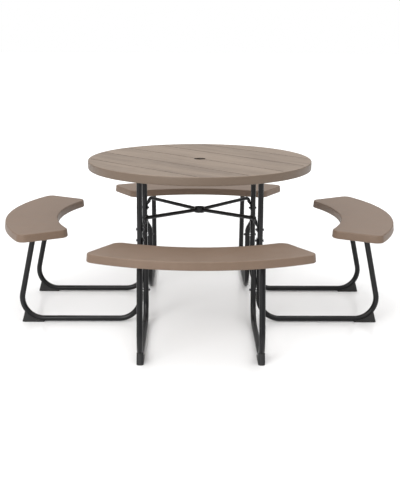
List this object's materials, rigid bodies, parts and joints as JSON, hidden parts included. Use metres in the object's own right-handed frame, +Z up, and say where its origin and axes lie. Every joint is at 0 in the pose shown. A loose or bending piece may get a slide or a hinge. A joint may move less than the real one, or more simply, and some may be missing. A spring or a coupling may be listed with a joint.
{
  "type": "picnic table",
  "caption": "Round outdoor picnic table with curved plastic benches on a bolted frame of bent steel tube, with an umbrella hole and support ring.",
  "frame": {"origin": "on the floor under the middle of the tabletop", "axes": "+Z up; +X towards the right bench and -Y towards the front bench; the side benches' long uprights stand on the outer side of each tube pair, along X"},
  "size_m": [1.833, 1.833, 0.725],
  "materials": {
    "tabletop_plastic": "wood grain embossed, matt",
    "bench_plastic": "fine texture, matt",
    "frame_coating": "black powder coat, satin",
    "foot_plastic": "matt black",
    "fastener_steel": "black zinc, satin"
  },
  "bodies": {
    "root": {"arm_bolts": "fastener_steel", "arm_nuts": "fastener_steel", "brace_arm_left_back": "frame_coating", "brace_arm_left_front": "frame_coating", "brace_arm_right_back": "frame_coating", "brace_arm_right_front": "frame_coating", "foot_back_left": "foot_plastic", "foot_back_right": "foot_plastic", "foot_front_left": "foot_plastic", "foot_front_right": "foot_plastic", "foot_left_back": "foot_plastic", "foot_left_front": "foot_plastic", "foot_right_back": "foot_plastic", "foot_right_front": "foot_plastic", "foot_screws": "fastener_steel", "leg_back_left": "frame_coating", "leg_back_right": "frame_coating", "leg_front_left": "frame_coating", "leg_front_right": "frame_coating", "leg_left_back": "frame_coating", "leg_left_front": "frame_coating", "leg_right_back": "frame_coating", "leg_right_front": "frame_coating", "pair_bolts": "fastener_steel", "pair_nuts": "fastener_steel", "seat_back": "bench_plastic", "seat_front": "bench_plastic", "seat_left": "bench_plastic", "seat_plate_back_left": "frame_coating", "seat_plate_back_right": "frame_coating", "seat_plate_front_left": "frame_coating", "seat_plate_front_right": "frame_coating", "seat_plate_left_back": "frame_coating", "seat_plate_left_front": "frame_coating", "seat_plate_right_back": "frame_coating", "seat_plate_right_front": "frame_coating", "seat_right": "bench_plastic", "seat_screws": "fastener_steel", "tab_bolts": "fastener_steel", "tab_nuts": "fastener_steel", "tabletop": "tabletop_plastic", "top_plate_left_back": "frame_coating", "top_plate_left_front": "frame_coating", "top_plate_right_back": "frame_coating", "top_plate_right_front": "frame_coating", "top_screws": "fastener_steel", "umbrella_ring": "frame_coating"}
  },
  "joints": []
}
